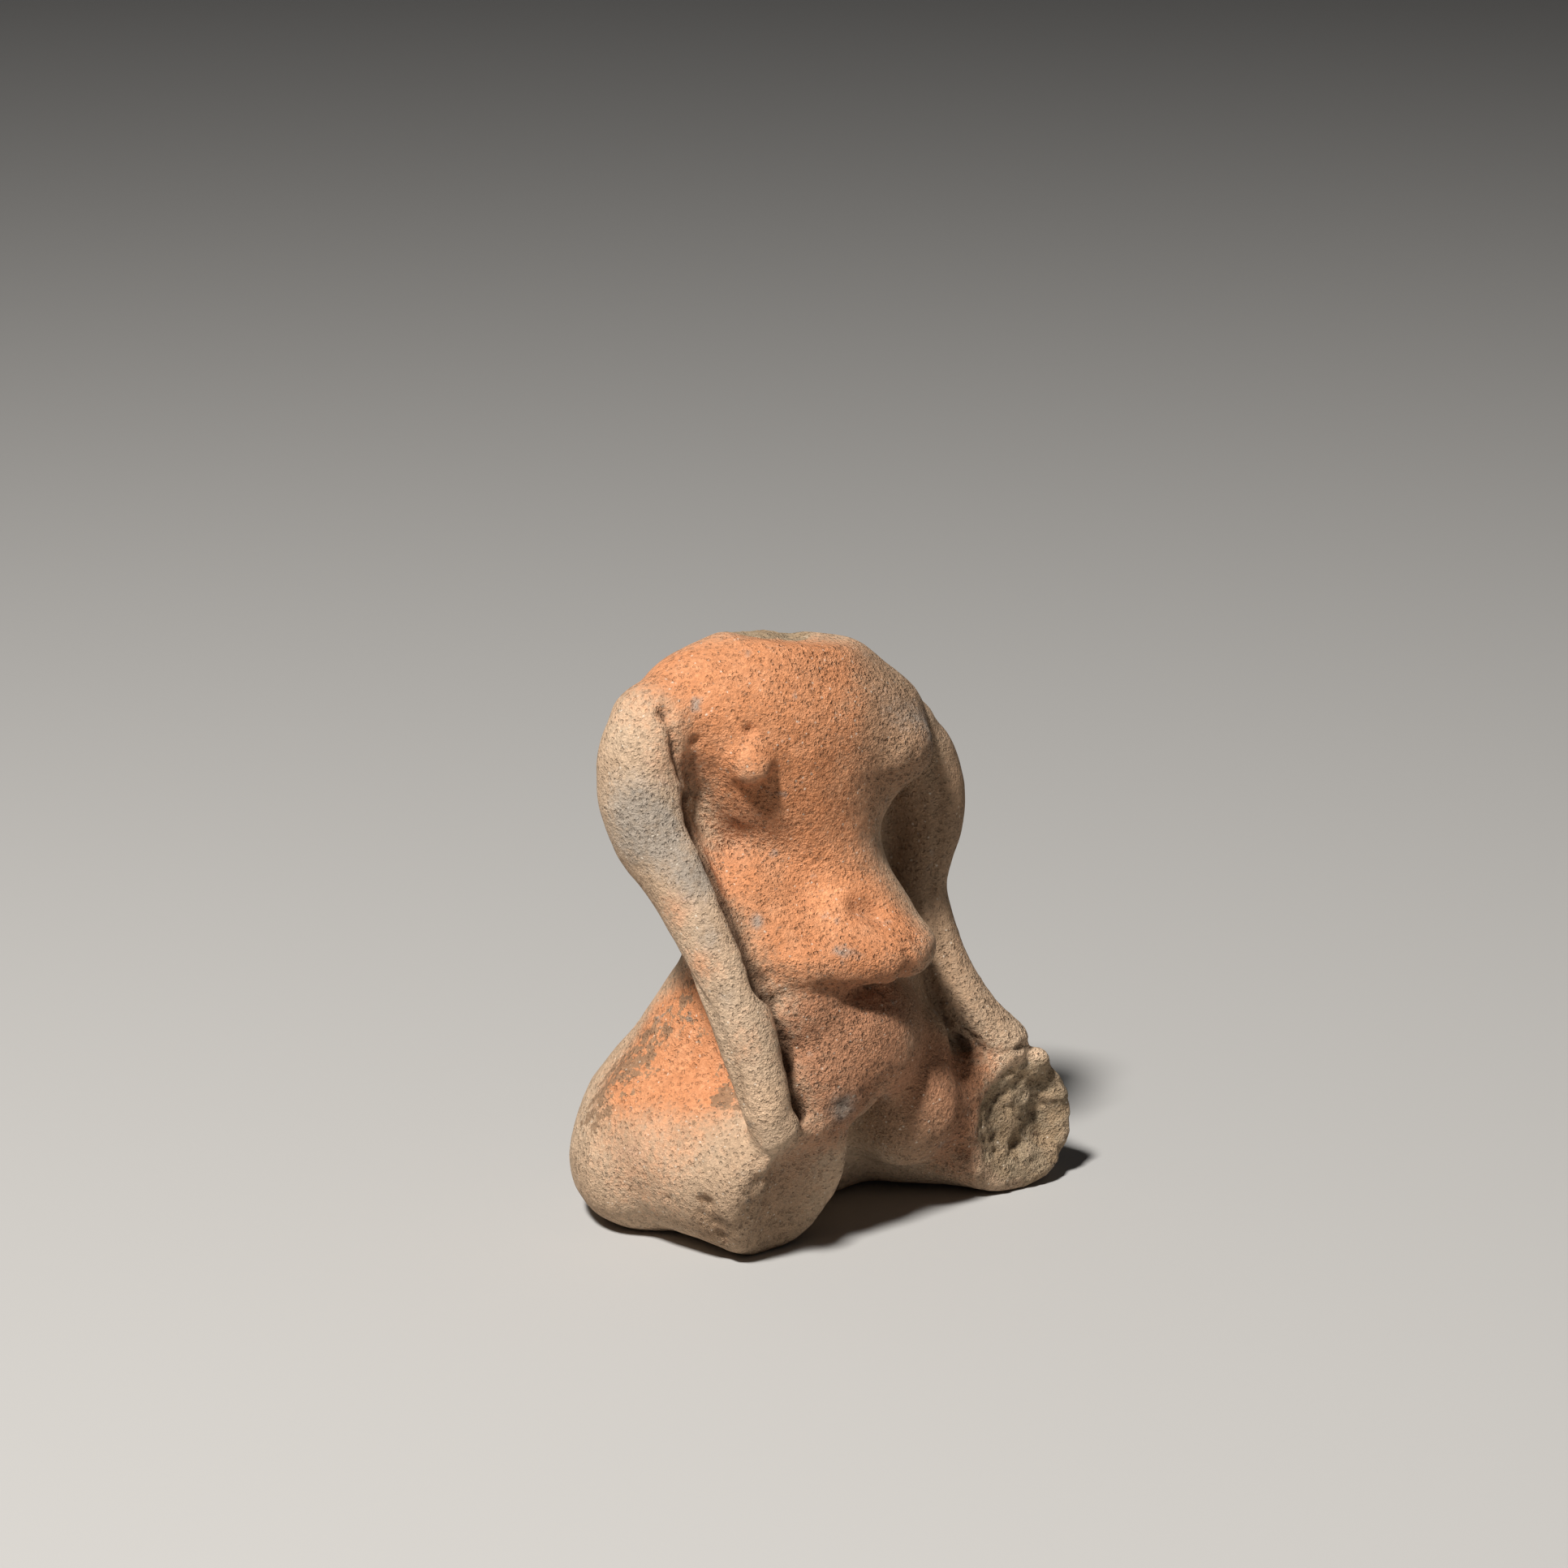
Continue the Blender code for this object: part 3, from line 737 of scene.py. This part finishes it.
def sand_group():
    """Grains from Voronoi cells bent by noise, and pores in some of wider cells; the masks run 0 to 1."""
    tree = bpy.data.node_groups.new("sand in clay", "ShaderNodeTree")
    for name, kind in SAND_IN.items():
        tree.interface.new_socket(name, in_out="INPUT", socket_type=kind)
    for name in SAND_OUT:
        tree.interface.new_socket(name, in_out="OUTPUT", socket_type="NodeSocketFloat")
    given = tree.nodes.new("NodeGroupInput").outputs
    scale = maths(tree, "DIVIDE", 1 / MM, given["Grain"])
    fine = add(
        tree, "TexNoise", Vector=given["Place"], Scale=maths(tree, "MULTIPLY", scale, 0.40),
        Detail=3.5, Roughness=0.78,
    ).outputs
    shift = add(tree, "VectorMath", {"operation": "MULTIPLY_ADD"})
    for socket, value in zip(shift.inputs, (fine["Color"], (BEND * MM,) * 3, given["Place"])):
        plug(tree, socket, value)

    def cells(times):
        """Cells so many times finer than the grain: distance to the seed, and three chance values."""
        made = add(tree, "TexVoronoi", Vector=shift.outputs[0], Scale=maths(tree, "MULTIPLY", scale, times))
        return made.outputs["Distance"], add(tree, "SeparateColor", Color=made.outputs["Color"]).outputs

    def holes(times, rarity, border):
        """Ragged holes in the cells whose chance value is above the rarity, as wide as it is above."""
        far, chance = cells(times)
        ragged = maths(tree, "MULTIPLY", maths(tree, "SUBTRACT", fine["Fac"], 0.5), 0.9)
        far = maths(tree, "ADD", far, ragged)
        width = maths(tree, "MULTIPLY", maths(tree, "SUBTRACT", chance["Red"], rarity), given["Pores"])
        return soft_step(tree, maths(tree, "SUBTRACT", far, width), border, -border * 0.4)

    far, chance = cells(1.0)
    dome = soft_step(tree, far, 0.80, 0.05)
    small = maths(tree, "MULTIPLY", holes(*SMALL_PORES), 0.8)
    pores = maths(tree, "MAXIMUM", small, holes(*LARGE_PORES))
    quartz = maths(tree, "MULTIPLY", soft_step(tree, chance["Green"], 0.978, 0.99), dome)
    grit = maths(tree, "MULTIPLY", soft_step(tree, chance["Blue"], 0.93, 0.97), dome)
    proud = maths(tree, "MULTIPLY", dome, maths(tree, "POWER", chance["Red"], 1.6))
    height = maths(tree, "MULTIPLY", fine["Fac"], 1.3)
    height = maths(tree, "ADD", height, maths(tree, "MULTIPLY", proud, 0.38))
    height = maths(tree, "SUBTRACT", height, maths(tree, "MULTIPLY", pores, 0.60))
    out = tree.nodes.new("NodeGroupOutput").inputs
    for name, value in zip(SAND_OUT, (chance["Red"], quartz, grit, pores, height)):
        plug(tree, out[name], value)
    return tree


SAND = sand_group()
print("the sand group has", len(SAND.nodes), "nodes")


def sand(tree, place, grain, pores):
    """The sand group placed in a material, with its grain in mm and the width of its pores."""
    placed = tree.nodes.new("ShaderNodeGroup")
    placed.node_tree = SAND
    for name, value in (("Place", place), ("Grain", grain), ("Pores", pores)):
        plug(tree, placed.inputs[name], value)
    return placed.outputs


# %% [markdown]
# ## The paint box of an open fire
#
# The colours go on in layers: buff clay, the orange and red of the fire, a brown that is partly earth stain
# and partly painted shade, ash grey where the fire was starved of air, brown crust from the soil, the core of
# the breaks, and last painted light on the high spots (partly wear), the grains, and painted shade in the
# pores, hollows and seams. Each border is broken up by noise, because none of them is sharp on the real thing.
# The gloss is almost nil, so roughness stays near 1 and varies only a little.

# %% Fired clay
BUFF = (0.50, 0.345, 0.225)
PALE = (0.56, 0.405, 0.275)
ORANGE = (0.60, 0.250, 0.113)
RED_CLAY = (0.42, 0.185, 0.095)
# the brown of earth stain and painted shade
STAIN_AND_SHADE_PAINT = (0.34, 0.215, 0.130)
ASH_GREY = (0.290, 0.258, 0.220)
CRUST_BROWN = (0.265, 0.165, 0.098)
CORE_BROWN = (0.41, 0.288, 0.176)
CORE_GREY = (0.33, 0.248, 0.162)
# the dark brown of painted shade, in pores, hollows and seams
PAINTED_SHADE_DARK = (0.120, 0.068, 0.040)
QUARTZ = (0.76, 0.67, 0.55)
GRIT = (0.20, 0.145, 0.105)
LAYERS = [  # number, its paint and share, where its border starts and ends, and how far each noise shifts it
    ("red", RED_CLAY, 0.85, 0.10, 1.00, {"patch": 0.6, "speck": 0.7}),
    # the brown layer is partly painted shade: the side away from the window, the gaps beside the arms, the
    # knee fronts
    ("brown", STAIN_AND_SHADE_PAINT, 0.75, 0.10, 1.05, {"patch": 0.6, "speck": 0.8}),
    ("ash", ASH_GREY, 0.80, 0.20, 1.10, {"patch": 0.8, "speck": 0.8}),
    ("crust", CRUST_BROWN, 0.85, 0.76, 0.86, {"flake": 2.7, "speck": 1.0}),
]
GRAIN = 0.30  # width of a grain of sand, in mm
PORE_WIDTH = 0.55  # as a share of the cell it lies in
RELIEF = 0.45  # full height of the bump, in mm
PAINTED_LIGHT_GAIN = 1.45  # how much brighter the painted light makes those spots


def number_of(tree, name):
    """One of the numbers that the skin carries for each point."""
    return add(tree, "Attribute", {"attribute_name": name}).outputs["Fac"]


def broken_mask(tree, number, noises, start, end):
    """A number with noise added round 0, then made a mask with a soft border between start and end."""
    total = number
    for noise, strength in noises:
        shift = maths(tree, "MULTIPLY", maths(tree, "SUBTRACT", noise, 0.5), strength)
        total = maths(tree, "ADD", total, shift)
    return soft_step(tree, total, start, end)


def wired(tree, socket):
    """A grey colour socket made from a number."""
    made = tree.nodes.new("ShaderNodeCombineColor")
    for part_of in made.inputs:
        tree.links.new(socket, part_of)
    return made.outputs[0]


def shaded(tree, paint, amount):
    """A colour times a number."""
    return mix(tree, 1.0, paint, wired(tree, amount), "MULTIPLY")


def spread(tree, value, low, high, start=0.0, end=1.0):
    """A value between start and end laid evenly between low and high."""
    made = add(tree, "MapRange", Value=value, From_Min=start, From_Max=end, To_Min=low, To_Max=high)
    return made.outputs["Result"]


def fired_clay():
    """The figure's one material: paints laid by the skin's numbers, sand over all, and a bump of the sand."""
    material = bpy.data.materials.new("fired_clay")
    material.use_nodes = True
    tree = material.node_tree
    surface = tree.nodes["Principled BSDF"]
    place = add(tree, "TexCoord").outputs["Object"]
    blotch = cloud(tree, place, 9.0, 2.0)
    patch = cloud(tree, place, 3.2, 3.0, 0.65)
    speck = cloud(tree, place, 0.8, 3.0, 0.75)
    noises = {"patch": patch, "speck": speck, "flake": cloud(tree, place, 1.35, 3.0, 0.65)}
    skin_sand = sand(tree, place, GRAIN, PORE_WIDTH)
    core = broken_mask(tree, number_of(tree, "core"), [(patch, 0.7), (speck, 0.5)], 0.15, 0.95)
    grainy = number_of(tree, "grainy")

    paint = mix(tree, soft_step(tree, blotch, 0.35, 0.65), BUFF, PALE)
    warm = broken_mask(tree, number_of(tree, "warm"), [(blotch, 0.5), (patch, 0.5), (speck, 0.7)], 0.05, 1.0)
    warm = maths(tree, "MULTIPLY", warm, spread(tree, patch, 1.0, 0.84, 0.42, 0.68))
    paint = mix(tree, warm, paint, ORANGE)
    for name, layer, share, start, end, shifts in LAYERS:
        shifts = [(noises[noise], strength) for noise, strength in shifts.items()]
        mask = broken_mask(tree, number_of(tree, name), shifts, start, end)
        paint = mix(tree, maths(tree, "MULTIPLY", mask, share), paint, layer)
    smudge = broken_mask(tree, cloud(tree, place, 2.7, 2.0, 0.4), [(speck, 0.25)], 0.69, 0.80)
    paint = mix(tree, maths(tree, "MULTIPLY", smudge, 0.5), paint, ASH_GREY)
    core_paint = mix(tree, soft_step(tree, patch, 0.40, 0.62), CORE_BROWN, CORE_GREY)
    paint = mix(tree, core, paint, core_paint)

    tint = spread(tree, skin_sand["Tint"], 0.88, 1.12)
    mottle = spread(tree, speck, 0.85, 1.13, 0.3, 0.7)
    wash = spread(tree, patch, 0.92, 1.08, 0.3, 0.7)
    paint = shaded(tree, paint, maths(tree, "MULTIPLY", maths(tree, "MULTIPLY", tint, mottle), wash))
    # painted light: the high spots on the knee rim, hand and belly made paler, partly as wear
    paint = shaded(tree, paint, spread(tree, number_of(tree, "rubbed"), 1.0, PAINTED_LIGHT_GAIN))
    paint = mix(tree, maths(tree, "MULTIPLY", number_of(tree, "crest"), 0.22), paint, PALE)
    paint = mix(tree, maths(tree, "MULTIPLY", skin_sand["Grit"], 0.6), paint, GRIT)
    paint = mix(tree, maths(tree, "MULTIPLY", skin_sand["Quartz"], 0.7), paint, QUARTZ)
    # painted shade: the pores darkened inside, more where the sand is bare
    pores = maths(tree, "MULTIPLY", skin_sand["Pores"], spread(tree, grainy, 0.06, 0.44))
    paint = mix(tree, pores, paint, PAINTED_SHADE_DARK)
    # painted shade laid in the hollows and seams
    hollow_shade = broken_mask(tree, number_of(tree, "hollow_shade"), [(patch, 0.3), (speck, 0.4)], 0.10, 1.0)
    paint = mix(tree, maths(tree, "MULTIPLY", hollow_shade, 0.8), paint, PAINTED_SHADE_DARK)
    tree.links.new(paint, surface.inputs["Base Color"])

    tree.links.new(spread(tree, speck, 0.84, 1.0), surface.inputs["Roughness"])
    surface.inputs["Specular IOR Level"].default_value = 0.2
    height = maths(tree, "MULTIPLY", skin_sand["Height"], spread(tree, grainy, 0.40, 1.55))
    bump = add(tree, "Bump", Strength=1.0, Distance=RELIEF * MM, Height=height)
    tree.links.new(bump.outputs["Normal"], surface.inputs["Normal"])
    return material


figure.data.materials.append(fired_clay())
print("fired clay:", len(figure.data.materials[0].node_tree.nodes), "nodes")

# %% [markdown]
# ## The table, the light and the eye
#
# The figure sits on a plain pale floor. One soft lamp stands high on the figure's right, as a window would,
# because raking light brings out every grain. Two faint lamps and a dim pale room keep the far side and the
# back readable. The floor is a wide disc, so it fills the view from any side.

# %% Floor
FLOOR_RADIUS = 12.0  # in metres, far wider than the view
FLOOR_SIDES = 128
FLOOR_GREY = (0.43, 0.422, 0.41, 1)


def disc(radius, sides):
    """A flat disc: a middle point and a ring at radius times the cosine and sine of even turns."""
    turn = np.arange(sides) * 2 * np.pi / sides
    ring = np.stack([np.cos(turn), np.sin(turn), 0 * turn], axis=1) * radius
    corners = np.stack([np.full(sides, sides), np.arange(sides), (np.arange(sides) + 1) % sides], axis=1)
    mesh = bpy.data.meshes.new("floor")
    mesh.from_pydata(np.vstack([ring, [[0, 0, 0]]]).tolist(), [], corners.tolist())
    return mesh


floor = bpy.data.objects.new("floor", disc(FLOOR_RADIUS, FLOOR_SIDES))
bpy.context.scene.collection.objects.link(floor)
paper = bpy.data.materials.new("pale_floor")
paper.use_nodes = True
matt = paper.node_tree.nodes["Principled BSDF"]
matt.inputs["Base Color"].default_value = FLOOR_GREY
matt.inputs["Roughness"].default_value = 0.95
matt.inputs["Specular IOR Level"].default_value = 0.1
floor.data.materials.append(paper)
print("the floor is", 2 * FLOOR_RADIUS, "m across")

# %% Lights
MIDDLE = Vector((0, 0, 0.036))  # of the figure, in metres
LAMPS = [  # name, the way to it, distance and size in metres, power in watts, colour
    ("window", (-0.53, -0.20, 0.823), 1.0, 0.13, 17.0, (1.0, 0.975, 0.94)),
    ("far side", (0.9, -0.5, 0.5), 1.6, 1.0, 0.08, (1, 1, 1)),
    ("behind", (0.3, 1.0, 0.6), 1.6, 1.0, 0.5, (1, 1, 1)),
]
ROOM_COLOUR = (0.95, 0.97, 1.0, 1)
ROOM_STRENGTH = 0.027


def lamp(name, towards, distance, size, power, colour):
    """A square soft lamp at a distance from the figure's middle, facing it."""
    light = bpy.data.lights.new(name, "AREA")
    light.size = size
    light.energy = power
    light.color = colour
    thing = bpy.data.objects.new(name, light)
    bpy.context.scene.collection.objects.link(thing)
    towards = Vector(towards).normalized()
    thing.location = MIDDLE + towards * distance
    thing.rotation_euler = towards.to_track_quat("Z", "Y").to_euler()


for values in LAMPS:
    lamp(*values)
room = bpy.data.worlds.new("room")
bpy.context.scene.world = room
room.use_nodes = True
room.node_tree.nodes["Background"].inputs["Color"].default_value = ROOM_COLOUR
room.node_tree.nodes["Background"].inputs["Strength"].default_value = ROOM_STRENGTH
bpy.context.scene.view_settings.view_transform = "Standard"

# %% Camera
AZIMUTH = math.radians(-40)  # from straight in front, towards the figure's right
ELEVATION = math.radians(16)
DISTANCE = 0.537
AIM_ACROSS = -0.0009  # how far the aim lies right of the figure's foot point and above it, in metres
AIM_UP = 0.0513
FOOT_POINT = Vector((-0.00287, -0.00207, 0))
back = Vector((
    math.sin(AZIMUTH) * math.cos(ELEVATION),
    -math.cos(AZIMUTH) * math.cos(ELEVATION),
    math.sin(ELEVATION),
))
right = Vector((math.cos(AZIMUTH), math.sin(AZIMUTH), 0))
eye = bpy.data.objects.new("camera", bpy.data.cameras.new("camera"))
bpy.context.scene.collection.objects.link(eye)
eye.data.lens = 100
eye.data.sensor_width = 36
eye.data.clip_start = 0.01
eye.rotation_mode = "QUATERNION"
eye.rotation_quaternion = (-back).to_track_quat("-Z", "Y")
eye.location = FOOT_POINT + right * AIM_ACROSS + back.cross(right) * AIM_UP + back * DISTANCE
bpy.context.scene.camera = eye
print("the camera stands at", [round(value, 3) for value in eye.location])
